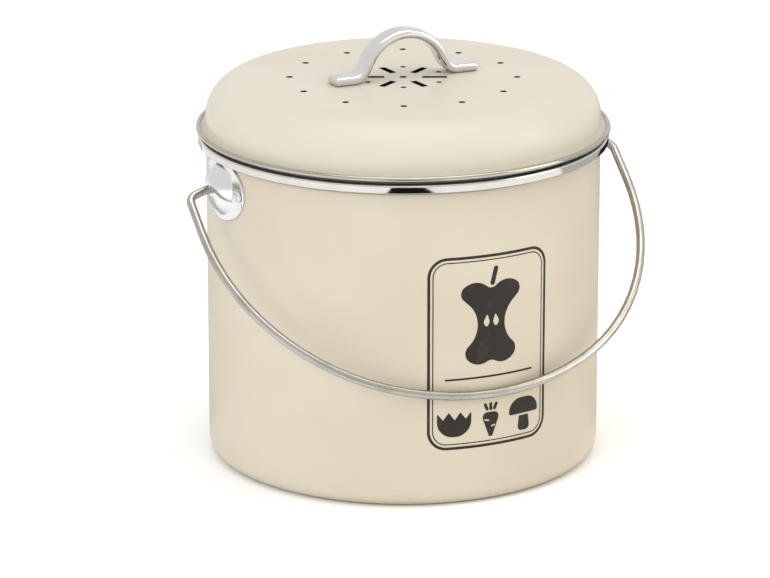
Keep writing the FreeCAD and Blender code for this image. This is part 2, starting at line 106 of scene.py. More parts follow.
def arc(centre: Vector, start: Vector, end: Vector) -> Bend:
    """Shorter arc between two points.

    Args:
        centre: The arc's centre.
        start: Where it starts.
        end: Where it ends, as far from the centre as the start.

    Returns:
        The arc.
    """
    out = start - centre
    back = end - centre
    return Bend(start, end, centre, out.cross(back).normalized(), out.angle(back))


def bends(outline: Outline, closed: bool) -> list[Bend]:
    """Turn the corners of an outline into arcs.

    Args:
        outline: Corners, and arcs that are already known.
        closed: Whether the last corner leads back to the first.

    Returns:
        One bend for each item. A sharp corner or a free end has no angle.
    """
    found = []
    last = len(outline) - 1
    for index, item in enumerate(outline):
        if isinstance(item, Bend):
            found.append(item)
            continue
        point = item.point
        if item.round == 0 or (not closed and index in (0, last)):
            found.append(Bend(point, point, point, Z_AXIS, 0.0))
            continue
        before = outline[index - 1]
        after = outline[(index + 1) % len(outline)]
        back = ((before.end if isinstance(before, Bend) else before.point) - point).normalized()
        ahead = ((after.start if isinstance(after, Bend) else after.point) - point).normalized()
        half = back.angle(ahead) / 2
        reach = item.round / math.tan(half)
        centre = point + (back + ahead).normalized() * (item.round / math.sin(half))
        found.append(arc(centre, point + back * reach, point + ahead * reach))
    return found


# Mesh making

class Workpiece:
    """A mesh in the making, with the moves that the pieces share."""

    def __init__(self) -> None:
        """Start with an empty mesh."""
        self.bm = bmesh.new()

    def draw(self, outline: Outline, closed: bool = True) -> list[BMEdge]:
        """Draw an outline of straight runs and arcs.

        Args:
            outline: Corners and arcs, in order.
            closed: Whether the end joins the start.

        Returns:
            The edges of the outline.
        """
        known = set(self.bm.edges)
        first, *others = bends(outline, closed)
        start = self.bm.verts.new(first.end)
        pen = start
        for bend in others + ([first] if closed else []):
            pen = self._follow(pen, bend)
        if closed:
            bmesh.ops.pointmerge(self.bm, verts=[start, pen], merge_co=start.co)
        return [edge for edge in self.bm.edges if edge not in known]

    def _follow(self, pen: BMVert, bend: Bend) -> BMVert:
        """Draw the run up to a bend and the bend itself.

        Args:
            pen: The point reached so far.
            bend: Where to go.

        Returns:
            The point at the bend's end.
        """
        if (bend.start - pen.co).length > WELD:
            step = bend.start - pen.co
            pen = bmesh.ops.extrude_vert_indiv(self.bm, verts=[pen])["verts"][0]
            bmesh.ops.translate(self.bm, verts=[pen], vec=step)
        if bend.angle:
            pen = next(item for item in self._carry_round([pen], bend) if isinstance(item, BMVert))
        return pen

    def _carry_round(self, geometry: list[BMVert | BMEdge], bend: Bend) -> list[BMVert | BMEdge]:
        """Carry points and edges round a bend.

        Args:
            geometry: The points and edges.
            bend: The bend.

        Returns:
            The points and edges at the bend's end.
        """
        spun = bmesh.ops.spin(
            self.bm, geom=geometry, cent=bend.centre, axis=bend.axis, angle=bend.angle,
            steps=math.ceil(bend.angle / ARC_STEP),
        )
        return spun["geom_last"]

    def turn(self, edges: list[BMEdge], steps: int) -> None:
        """Turn an outline once round Z and close its seam and poles.

        Args:
            edges: The outline.
            steps: Points round the piece.
        """
        points = {point for edge in edges for point in edge.verts}
        bmesh.ops.spin(
            self.bm, geom=[*points, *edges], cent=ORIGIN, axis=Z_AXIS, angle=2 * math.pi, steps=steps,
            use_merge=True,
        )
        bmesh.ops.remove_doubles(self.bm, verts=self.bm.verts, dist=WELD)

    def lathe(self, outline: Outline, steps: int = TURN_STEPS, closed: bool = False) -> None:
        """Draw an outline and turn it once round Z."""
        self.turn(self.draw(outline, closed), steps)

    def ring(self, radius: float, place: Matrix, points: int) -> list[BMEdge]:
        """Draw a circle.

        Args:
            radius: Radius in metres.
            place: Where the circle's middle goes, and how it is turned.
            points: Points round it.

        Returns:
            The circle's edges.
        """
        made = bmesh.ops.create_circle(self.bm, segments=points, radius=radius, matrix=place)["verts"]
        return list({edge for point in made for edge in point.link_edges})

    def push(self, loop: list[BMEdge], move: Vector, scale: float = 1.0) -> list[BMEdge]:
        """Draw a wall from a loop to a moved and scaled copy of it.

        Args:
            loop: The loop to start from.
            move: How far the copy goes.
            scale: Size of the copy about its own middle.

        Returns:
            The copy's edges.
        """
        drawn = bmesh.ops.extrude_edge_only(self.bm, edges=loop)["geom"]
        points = [item for item in drawn if isinstance(item, BMVert)]
        bmesh.ops.translate(self.bm, verts=points, vec=move)
        middle = sum((point.co for point in points), Vector()) / len(points)
        bmesh.ops.scale(
            self.bm, verts=points, vec=(scale, scale, scale), space=Matrix.Translation(-middle)
        )
        new = set(points)
        return [item for item in drawn if isinstance(item, BMEdge) and new.issuperset(item.verts)]

    def sweep(self, loop: list[BMEdge], path: Outline) -> list[BMEdge]:
        """Draw a section along a path.

        Args:
            loop: The section, standing square at the path's start.
            path: Corners of the path.

        Returns:
            The edges of the section at the path's end.
        """
        first, *others = bends(path, False)
        place = first.end
        for bend in others:
            loop = self.push(loop, bend.start - place)
            place = bend.end
            if not bend.angle:
                continue
            points = {point for edge in loop for point in edge.verts}
            loop = [item for item in self._carry_round([*points, *loop], bend) if isinstance(item, BMEdge)]
        return loop

    def cap(self, loop: list[BMEdge]) -> None:
        """Close a loop with one face."""
        bmesh.ops.contextual_create(self.bm, geom=loop)

    def fill(self, edges: list[BMEdge]) -> None:
        """Fill the flat area between loops, leaving the inner ones open."""
        bmesh.ops.triangle_fill(self.bm, use_beauty=True, edges=edges, normal=Z_AXIS)

    def soften(self, edges: list[BMEdge], offset: float, segments: int) -> None:
        """Round edges over.

        Args:
            edges: The edges.
            offset: Width of the rounding in metres.
            segments: Faces across the rounding.
        """
        bmesh.ops.recalc_face_normals(self.bm, faces=self.bm.faces)
        bmesh.ops.bevel(
            self.bm, geom=edges, offset=offset, offset_type="OFFSET", affect="EDGES", segments=segments,
            profile=0.5, material=-1,
        )

    def place(self, matrix: Matrix) -> None:
        """Move everything drawn so far."""
        bmesh.ops.transform(self.bm, matrix=matrix, verts=self.bm.verts)

    def repeat(self, matrices: Sequence[Matrix]) -> None:
        """Add copies of everything drawn so far, one for each matrix."""
        original = [*self.bm.verts, *self.bm.edges, *self.bm.faces]
        for matrix in matrices:
            copied = bmesh.ops.duplicate(self.bm, geom=original)["geom"]
            points = [item for item in copied if isinstance(item, BMVert)]
            bmesh.ops.transform(self.bm, matrix=matrix, verts=points)

    def finish(self, name: str, *materials: bpy.types.Material) -> bpy.types.Object:
        """Make the object, with its faces outwards and smooth up to its crisp edges.

        Args:
            name: The piece's name.
            materials: Its finishes, in the order of the faces' material numbers.

        Returns:
            The object, at the origin.
        """
        bmesh.ops.remove_doubles(self.bm, verts=self.bm.verts, dist=WELD)
        bmesh.ops.recalc_face_normals(self.bm, faces=self.bm.faces)
        for face in self.bm.faces:
            face.smooth = True
        for edge in self.bm.edges:
            edge.smooth = edge.calc_face_angle(0.0) < CRISP
        mesh = bpy.data.meshes.new(name)
        self.bm.to_mesh(mesh)
        self.bm.free()
        for material in materials:
            mesh.materials.append(material)
        piece = bpy.data.objects.new(name, mesh)
        bpy.context.scene.collection.objects.link(piece)
        return piece


# Finishes

class Value:
    """A number socket that takes part in Python expressions."""

    def __init__(self, graph: "FinishGraph", socket: bpy.types.NodeSocket) -> None:
        """Keep the socket and the graph it belongs to."""
        self.graph = graph
        self.socket = socket

    def __add__(self, other: "float | Value") -> "Value":
        """Sum of two values."""
        return self.graph.maths("ADD", self, other)

    def __sub__(self, other: "float | Value") -> "Value":
        """Difference of two values."""
        return self.graph.maths("SUBTRACT", self, other)

    def __rsub__(self, other: float) -> "Value":
        """Difference with a number in front."""
        return self.graph.maths("SUBTRACT", other, self)

    def __mul__(self, other: "float | Value") -> "Value":
        """Product of two values."""
        return self.graph.maths("MULTIPLY", self, other)

    # A sum or a product is the same with the number in front.
    __radd__ = __add__
    __rmul__ = __mul__

    def ramp(self, low: float, high: float) -> "Value":
        """Smooth step from 0 at low to 1 at high."""
        node = self.graph.node(
            "ShaderNodeMapRange",
            {"interpolation_type": "SMOOTHSTEP"},
            {"Value": self, "From Min": low, "From Max": high},
        )
        return Value(self.graph, node.outputs["Result"])


class FinishGraph:
    """The node graph of one material."""

    def __init__(self, name: str) -> None:
        """Start a material with a Principled shader.

        Args:
            name: The material's name.
        """
        self.material = bpy.data.materials.new(name)
        self.material.use_nodes = True
        self.tree = self.material.node_tree
        self.shader = self.tree.nodes["Principled BSDF"]
        self.place = self.node("ShaderNodeTexCoord").outputs["Object"]

    def node(
        self,
        kind: str,
        settings: dict[str, object] | None = None,
        inputs: dict[str | int, object] | None = None,
    ) -> bpy.types.Node:
        """Add a node.

        Args:
            kind: The node's type.
            settings: Its own settings, made first.
            inputs: Values or links of its sockets.

        Returns:
            The node.
        """
        made = self.tree.nodes.new(kind)
        for key, setting in (settings or {}).items():
            setattr(made, key, setting)
        for key, value in (inputs or {}).items():
            self.feed(made.inputs[key], value)
        return made

    def feed(self, socket: bpy.types.NodeSocket, value: object) -> None:
        """Link a socket to a value, or set it."""
        if isinstance(value, Value):
            value = value.socket
        if isinstance(value, bpy.types.NodeSocket):
            self.tree.links.new(value, socket)
        else:
            socket.default_value = value

    def set(self, **sockets: object) -> None:
        """Set or link sockets of the shader, named with _ for a space."""
        for name, value in sockets.items():
            self.feed(self.shader.inputs[name.replace("_", " ")], value)

    def maths(self, operation: str, left: "float | Value", right: "float | Value") -> Value:
        """Math node on two values."""
        made = self.node("ShaderNodeMath", {"operation": operation}, {0: left, 1: right})
        return Value(self, made.outputs["Value"])

    def axes(self) -> tuple[Value, Value, Value]:
        """X, Y and Z of the place on the object, in metres."""
        parts = self.node("ShaderNodeSeparateXYZ", inputs={"Vector": self.place}).outputs
        return Value(self, parts["X"]), Value(self, parts["Y"]), Value(self, parts["Z"])

    def noise(self, grain: tuple[float, float, float], detail: float = 2.0) -> Value:
        """Noise with a grain size along each axis.

        Args:
            grain: Size of the grain along X, Y and Z, in millimetres.
            detail: Finer layers on top.

        Returns:
            A value around 0.5.
        """
        stretched = self.node(
            "ShaderNodeMapping",
            inputs={"Vector": self.place, "Scale": [1 / (size * MM) for size in grain]},
        )
        made = self.node(
            "ShaderNodeTexNoise",
            inputs={"Vector": stretched.outputs["Vector"], "Scale": 1.0, "Detail": detail},
        )
        return Value(self, made.outputs["Fac"])

    def mix(self, share: Value, first: object, second: object) -> bpy.types.NodeSocket:
        """Mix two colours.

        Args:
            share: Share of the second colour.
            first: Colour, or a colour socket.
            second: Colour, or a colour socket.

        Returns:
            The mixed colour's socket.
        """
        made = self.node("ShaderNodeMix", {"data_type": "RGBA"}, {"Factor": share})
        for socket, colour in ((made.inputs[6], first), (made.inputs[7], second)):
            self.feed(socket, (*colour, 1.0) if isinstance(colour, tuple) else colour)
        return made.outputs[2]

    def bump(self, height: Value, depth: float) -> bpy.types.NodeSocket:
        """Normal of a surface that a height from 0 to 1 raises by a depth in millimetres."""
        inputs = {"Height": height, "Distance": depth * MM, "Strength": 1.0}
        return self.node("ShaderNodeBump", inputs=inputs).outputs["Normal"]


@dataclass(frozen=True)
class SatinPaint:
    """Baked cream paint on steel: faint orange peel, slow drift of tone, grime at the foot, and painted shade
    along a seam where another part meets the paint.
    """

    name: str
    seam: float
    seam_painted_shade: float
    light: Colour
    deep: Colour
    # Dust colour of the specks and the foot, also the tint of the painted shade at the seam.
    dust_and_shade: Colour = (0.220, 0.185, 0.135)
    gloss: float = 0.36

    def material(self) -> bpy.types.Material:
        """Make the paint."""
        graph = FinishGraph(self.name)
        drift = graph.noise((70, 70, 45), 3).ramp(0.3, 0.7)
        speck = graph.noise((0.5, 0.5, 0.5), 1).ramp(0.70, 0.80)
        peel = graph.noise((1.3, 1.3, 1.3), 2)
        height = graph.axes()[2]
        foot = 1 - height.ramp(0.0, 5 * MM)
        # Painted shade: a dark band from just below the seam height to 3 mm above it, where another part
        # meets the paint.
        above = height - self.seam * MM
        seam = above.ramp(-0.8 * MM, -0.1 * MM) * (1 - above.ramp(0.0, 3.0 * MM))
        tone = graph.mix(drift, self.light, self.deep)
        tone = graph.mix(0.05 * speck + 0.14 * foot + self.seam_painted_shade * seam, tone, self.dust_and_shade)
        graph.set(
            Base_Color=tone,
            Roughness=self.gloss + 0.07 * drift + 0.10 * foot,
            Normal=graph.bump(peel, 0.012),
            Specular_IOR_Level=0.35,
            Coat_Weight=0.06,
            Coat_Roughness=0.22,
        )
        return graph.material


class Grain(Enum):
    """Which way the polishing lines of a steel piece run: grain sizes along X, Y and Z, in millimetres."""

    ROUND_THE_BIN = (60.0, 60.0, 0.10)
    ALONG_X = (40.0, 0.16, 0.16)
    EVEN = (1.1, 1.1, 1.1)


@dataclass(frozen=True)
class BrightSteel:
    """Polished or plated steel with polishing lines, faint handling marks, and painted shade up to a height.
    """

    name: str
    grain: Grain
    light: Colour = (0.70, 0.70, 0.705)
    dull: Colour = (0.60, 0.595, 0.59)
    # Tint of the painted shade.
    shade_colour: Colour = (0.16, 0.14, 0.11)
    gloss: float = 0.09
    line_depth: float = 0.0010
    # Height up to which painted shade darkens the steel.
    painted_shade_top: float = 0.0

    def material(self) -> bpy.types.Material:
        """Make the steel."""
        graph = FinishGraph(self.name)
        lines = graph.noise(self.grain.value, 2)
        smear = graph.noise((14, 14, 9), 3).ramp(0.45, 0.75)
        # Painted shade: darker and rougher below a height.
        painted_shade = 1 - (graph.axes()[2] - self.painted_shade_top * MM).ramp(-0.5 * MM, 0.1 * MM)
        clean = graph.mix(smear * 0.6 + lines * 0.3, self.light, self.dull)
        graph.set(
            Base_Color=graph.mix(painted_shade * 0.75, clean, self.shade_colour),
            Metallic=1.0,
            Roughness=self.gloss + 0.07 * smear + 0.06 * lines + 0.25 * painted_shade,
            Normal=graph.bump(lines, self.line_depth),
        )
        return graph.material


@dataclass(frozen=True)
class MouldedPlastic:
    """Moulded plastic with a fine spark-eroded texture and scuffs."""

    name: str
    body: Colour
    scuffed: Colour
    gloss: float = 0.5

    def material(self) -> bpy.types.Material:
        """Make the plastic."""
        graph = FinishGraph(self.name)
        spark = graph.noise((0.6, 0.6, 0.6), 3)
        scuff = graph.noise((25, 25, 3), 4).ramp(0.56, 0.74)
        graph.set(
            Base_Color=graph.mix(scuff * 0.35, self.body, self.scuffed),
            Roughness=self.gloss + 0.12 * scuff + 0.08 * spark,
            Normal=graph.bump(spark, 0.03),
        )
        return graph.material


@dataclass(frozen=True)
class SoftSilicone:
    """Matt silicone with a slight bloom."""

    name: str = "silicone"
    body: Colour = (0.43, 0.42, 0.40)
    bloom: Colour = (0.56, 0.55, 0.53)

    def material(self) -> bpy.types.Material:
        """Make the silicone."""
        graph = FinishGraph(self.name)
        cloud = graph.noise((9, 9, 4), 3).ramp(0.4, 0.7)
        grain = graph.noise((0.4, 0.4, 0.4), 1)
        graph.set(
            Base_Color=graph.mix(cloud, self.body, self.bloom),
            Roughness=0.55 + 0.15 * cloud,
            Normal=graph.bump(grain, 0.01),
        )
        return graph.material


@dataclass(frozen=True)
class CharcoalFleece:
    """Needled fleece loaded with carbon: short fibres over a loose cloud."""

    name: str = "charcoal_felt"
    dark: Colour = (0.010, 0.010, 0.011)
    fibre: Colour = (0.055, 0.054, 0.053)

    def material(self) -> bpy.types.Material:
        """Make the fleece."""
        graph = FinishGraph(self.name)
        strands = graph.noise((2.4, 0.25, 0.6), 3) * 0.5 + graph.noise((0.25, 2.4, 0.6), 3) * 0.5
        cloud = graph.noise((6, 6, 6), 3)
        graph.set(
            Base_Color=graph.mix(strands.ramp(0.45, 0.65), self.dark, self.fibre),
            Roughness=0.85 + 0.1 * cloud,
            Normal=graph.bump(strands + cloud, 0.35),
        )
        return graph.material


@dataclass(frozen=True)
class PrintInk:
    """Screen-printed ink: nearly black brown, a little thin in places."""

    name: str = "print_ink"
    full: Colour = (0.020, 0.016, 0.013)
    thin: Colour = (0.040, 0.033, 0.027)

    def material(self) -> bpy.types.Material:
        """Make the ink."""
        graph = FinishGraph(self.name)
        mesh = graph.noise((0.45, 0.45, 0.45), 2)
        patch = graph.noise((9, 9, 9), 3).ramp(0.5, 0.75)
        graph.set(
            Base_Color=graph.mix(patch * 0.7 + mesh * 0.2, self.full, self.thin),
            Roughness=0.42 + 0.12 * patch,
            Specular_IOR_Level=0.2,
            Normal=graph.bump(mesh, 0.004),
        )
        return graph.material


@dataclass(frozen=True)
class StudioSheet:
    """Matt sheet of the studio with a barely visible tooth."""

    name: str
    body: Colour
    tooth: Colour

    def material(self) -> bpy.types.Material:
        """Make the sheet."""
        graph = FinishGraph(self.name)
        grain = graph.noise((3, 3, 3), 3)
        graph.set(
            Base_Color=graph.mix(grain, self.body, self.tooth),
            Roughness=0.9,
            Specular_IOR_Level=0.0,
        )
        return graph.material


class Finishes:
    """Every finish of the bin, made once."""

    def __init__(self) -> None:
        """Make the materials."""
        # Painted shadow line on the pail's wall just under the rim band.
        self.pail_paint = SatinPaint(
            "cream_paint_pail", seam=147.0, seam_painted_shade=0.75,
            light=(0.540, 0.485, 0.390), deep=(0.517, 0.459, 0.363),
        ).material()
        # Painted shade on the lid just above the bead.
        self.lid_paint = SatinPaint(
            "cream_paint_lid", seam=155.0, seam_painted_shade=0.32,
            light=(0.540, 0.507, 0.430), deep=(0.521, 0.485, 0.405),
        ).material()
        self.ink = PrintInk().material()
        # Painted shadow line along the hoop's lower edge.
        self.hoop = BrightSteel(
            "bright_steel_hoop", Grain.ROUND_THE_BIN, (0.62, 0.60, 0.57), (0.54, 0.52, 0.49),
            gloss=0.02, painted_shade_top=148.4,
        ).material()
        # Painted shade on the bead's underside, over the gap above the hoop.
        self.bead = BrightSteel(
            "bright_steel_bead", Grain.ROUND_THE_BIN, (0.47, 0.44, 0.39), (0.38, 0.35, 0.30),
            gloss=0.06, painted_shade_top=153.7,
        ).material()
        # Bare steel of the vent walls, darkened to near black: painted shade inside the holes.
        self.shaded_punched = BrightSteel(
            "shaded_punched_edge", Grain.EVEN, (0.050, 0.046, 0.042), (0.030, 0.028, 0.026), gloss=0.45
        ).material()
        self.strap = BrightSteel(
            "bright_steel_strap", Grain.ALONG_X, (0.72, 0.71, 0.695), (0.62, 0.605, 0.585), gloss=0.08
        ).material()
        self.pressing = BrightSteel(
            "bright_steel_pressing", Grain.EVEN, (0.73, 0.735, 0.75), (0.64, 0.645, 0.655), gloss=0.16
        ).material()
        self.wire = BrightSteel(
            "wire_steel", Grain.EVEN, (0.46, 0.440, 0.400), (0.34, 0.322, 0.285), gloss=0.18, line_depth=0.006
        ).material()
        self.plain = BrightSteel(
            "plain_steel", Grain.ROUND_THE_BIN, (0.62, 0.63, 0.64), (0.48, 0.49, 0.50), gloss=0.26
        ).material()
        self.bucket = MouldedPlastic("bucket_plastic", (0.075, 0.075, 0.078), (0.13, 0.13, 0.13)).material()
        self.filter = MouldedPlastic("filter_plastic", (0.030, 0.030, 0.032), (0.07, 0.07, 0.07)).material()
        self.silicone = SoftSilicone().material()
        self.fleece = CharcoalFleece().material()


def mount(piece: bpy.types.Object, body: str, slot: str, *nodes: str) -> None:
    """Make a piece ride on its body in place of CAD nodes.

    Args:
        piece: The piece.
        body: The CAD body that carries it.
        slot: Not used.
        nodes: CAD nodes that it stands for.
    """
    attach(piece, body)
    if nodes:
        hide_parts(*nodes)
    log.info("%s: %d faces on %s", piece.name, len(piece.data.polygons), body)


def dress(node: str, material: bpy.types.Material) -> None:
    """Give a CAD node a finish.

    Args:
        node: The node's name.
        material: The finish.
    """
    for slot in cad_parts[node].material_slots:
        slot.material = material
    log.info("%s: CAD shape in %s", node, material.name)


# Sub-assemblies

class Side(Enum):
    """A side of the bin, as a turn about Z in degrees."""

    RIGHT = 0
    LEFT = 180

    @property
    def word(self) -> str:
        """The side in the nodes' names."""
        return self.name.lower()

    @property
    def matrix(self) -> Matrix:
        """The turn from the right-hand side."""
        return Matrix.Rotation(math.radians(self.value), 4, "Z")


@dataclass
class Pail:
    """Painted shell, bright band over its rim, and two riveted bail ears. Millimetres."""

    finishes: Finishes
    radius: float = 90.6
    height: float = 152.0
    sheet: float = 0.8
    corner: float = 7.0
    foot_width: float = 6.0
    recess: float = 2.0
    base_bend: float = 1.2
    edge_round: float = 0.2
    seat: float = 0.05
    rim_radius: float = 94.3
    rim_depth: float = 4.0
    rim_round: float = 1.1
    rim_lip: float = 1.0
    pivot: float = 135.2
    ear_half_width: float = 20.0
    ear_half_height: float = 14.5
    ear_sheet: float = 1.0
    ear_edge_round: float = 0.45
    ear_back_round: float = 0.1
    ear_edge_width: float = 0.6
    ear_steps: int = 96
    dome_radius: float = 12.5
    dome_reach: float = 7.0
    dome_fillet: float = 0.7
    wire_hole: float = 2.06
    rivet_offset: float = 16.3
    rivet_shank: float = 1.4
    rivet_head: float = 2.7
    rivet_head_height: float = 1.5
    rivet_head_round: float = 1.4
    rivet_tail: float = 2.0
    rivet_tail_height: float = 0.7
    rivet_tail_round: float = 0.35
    rivet_seat_round: float = 0.1
    rivet_steps: int = 48

    def shell(self) -> None:
        """Drawn shell with a rounded foot and a recessed base."""
        work = Workpiece()
        inside = self.radius - self.sheet
        top = self.height - self.sheet
        foot = self.radius - self.corner - self.foot_width
        step = foot - self.recess
        shift = self.sheet * math.tan(math.radians(45) / 2)
        work.lathe([
            upright(0, self.recess),
            upright(step, self.recess, self.base_bend),
            upright(foot, 0, self.base_bend),
            upright(self.radius, 0, self.corner),
            upright(self.radius, top, self.edge_round),
            upright(inside, top, self.edge_round),
            upright(inside, self.sheet, self.corner - self.sheet),
            upright(foot + shift, self.sheet, self.base_bend),
            upright(step + shift, self.recess + self.sheet, self.base_bend),
            upright(0, self.recess + self.sheet),
        ])
        mount(work.finish("pail_shell", self.finishes.pail_paint), "pail", "cream_paint", "pail_wall")

    def band(self) -> None:
        """Bright hoop of channel section over the shell's top edge."""
        work = Workpiece()
        bottom = self.height - self.rim_depth
        skirt = self.radius - self.sheet - self.seat
        inside = self.rim_radius - self.sheet
        work.lathe([
            upright(skirt - self.sheet, bottom, self.edge_round),
            upright(skirt - self.sheet, self.height, self.sheet / 2),
            upright(self.rim_radius, self.height, self.rim_round),
            upright(self.rim_radius, bottom, self.sheet / 2),
            upright(inside - self.rim_lip, bottom, self.edge_round),
            upright(inside - self.rim_lip, bottom + self.sheet, self.edge_round),
            upright(inside, bottom + self.sheet),
            upright(inside, self.height - self.sheet),
            upright(skirt, self.height - self.sheet),
            upright(skirt, bottom, self.edge_round),
        ], 2 * TURN_STEPS, closed=True)
        mount(work.finish("rim_hoop", self.finishes.hoop), "pail", "bright_steel", "rim_band")

    def ear_outline(self) -> Outline:
        """Half section of an ear: a flange, a fillet and a hollow dome with a hole for the wire."""
        ball = (self.dome_radius ** 2 + self.dome_reach ** 2) / (2 * self.dome_reach)
        inner_ball = ball - self.ear_sheet
        low = self.dome_reach - ball
        fillet_up = self.ear_sheet + self.dome_fillet
        fillet_out = math.sqrt((ball + self.dome_fillet) ** 2 - (fillet_up - low) ** 2)
        middle = upright(0, low).point
        fillet = upright(fillet_out, fillet_up).point
        meeting = middle + (fillet - middle).normalized() * ball * MM
        dome_top = upright(self.wire_hole, low + math.sqrt(ball ** 2 - self.wire_hole ** 2)).point
        hollow_top = upright(self.wire_hole, low + math.sqrt(inner_ball ** 2 - self.wire_hole ** 2)).point
        hollow_foot = upright(math.sqrt(inner_ball ** 2 - low ** 2), 0).point
        return [
            arc(middle, dome_top, meeting),
            arc(fillet, meeting, upright(fillet_out, self.ear_sheet).point),
            upright(self.ear_half_height, self.ear_sheet, self.ear_edge_round),
            upright(self.ear_half_height, 0, self.ear_back_round),
            Corner(hollow_foot),
            arc(middle, hollow_foot, hollow_top),
        ]

    def ear(self, side: Side) -> None:
        """Pressed ear whose oval flange follows the wall.

        Args:
            side: The ear's side of the bin.
        """
        work = Workpiece()
        work.lathe(self.ear_outline(), self.ear_steps, closed=True)
        rim = (self.ear_half_height - self.ear_edge_width) * MM
        flange_edge = [point for point in work.bm.verts if point.co.xy.length > rim]
        bmesh.ops.scale(work.bm, verts=flange_edge, vec=(1, self.ear_half_width / self.ear_half_height, 1))
        work.place(Matrix.Rotation(math.pi / 2, 4, "Y"))
        seat = (self.radius + self.seat) * MM
        flange = self.ear_sheet * MM
        rise = (self.dome_reach - self.ear_sheet) * MM
        for point in work.bm.verts:
            hold = 1 - min(max(point.co.x - flange, 0) / rise, 1)
            point.co.x += hold * (math.sqrt(seat ** 2 - point.co.y ** 2) - seat)
        work.place(side.matrix @ Matrix.Translation((seat, 0, self.pivot * MM)))
        piece = work.finish(f"{side.word}_ear_cup", self.finishes.pressing)
        mount(piece, "pail", "bright_steel", f"{side.word}_bail_ear")

    def rivets(self, side: Side) -> None:
        """Two domed rivets through an ear's flange and the wall.

        Args:
            side: The ear's side of the bin.
        """
        work = Workpiece()
        tail = self.radius - self.sheet - self.seat
        head = self.radius + self.ear_sheet + 2 * self.seat
        top = head + self.rivet_head_height
        work.lathe([
            upright(0, tail - self.rivet_tail_height),
            upright(self.rivet_tail, tail - self.rivet_tail_height, self.rivet_tail_round),
            upright(self.rivet_tail, tail, self.rivet_seat_round),
            upright(self.rivet_shank, tail),
            upright(self.rivet_shank, head),
            upright(self.rivet_head, head, self.rivet_seat_round),
            upright(self.rivet_head, top, self.rivet_head_round),
            upright(0, top),
        ], self.rivet_steps)
        work.place(Matrix.Rotation(math.pi / 2, 4, "Y"))
        turn = self.rivet_offset / self.radius
        work.place(Matrix.Rotation(-turn, 4, "Z"))
        work.repeat([Matrix.Rotation(2 * turn, 4, "Z")])
        work.place(side.matrix @ Matrix.Translation((0, 0, self.pivot * MM)))
        piece = work.finish(f"{side.word}_rivet_pair", self.finishes.pressing)
        mount(piece, "pail", "bright_steel", f"{side.word}_ear_rivets")

    def build(self) -> None:
        """Build every piece of the pail."""
        self.shell()
        self.band()
        for side in Side:
            self.ear(side)
            self.rivets(side)


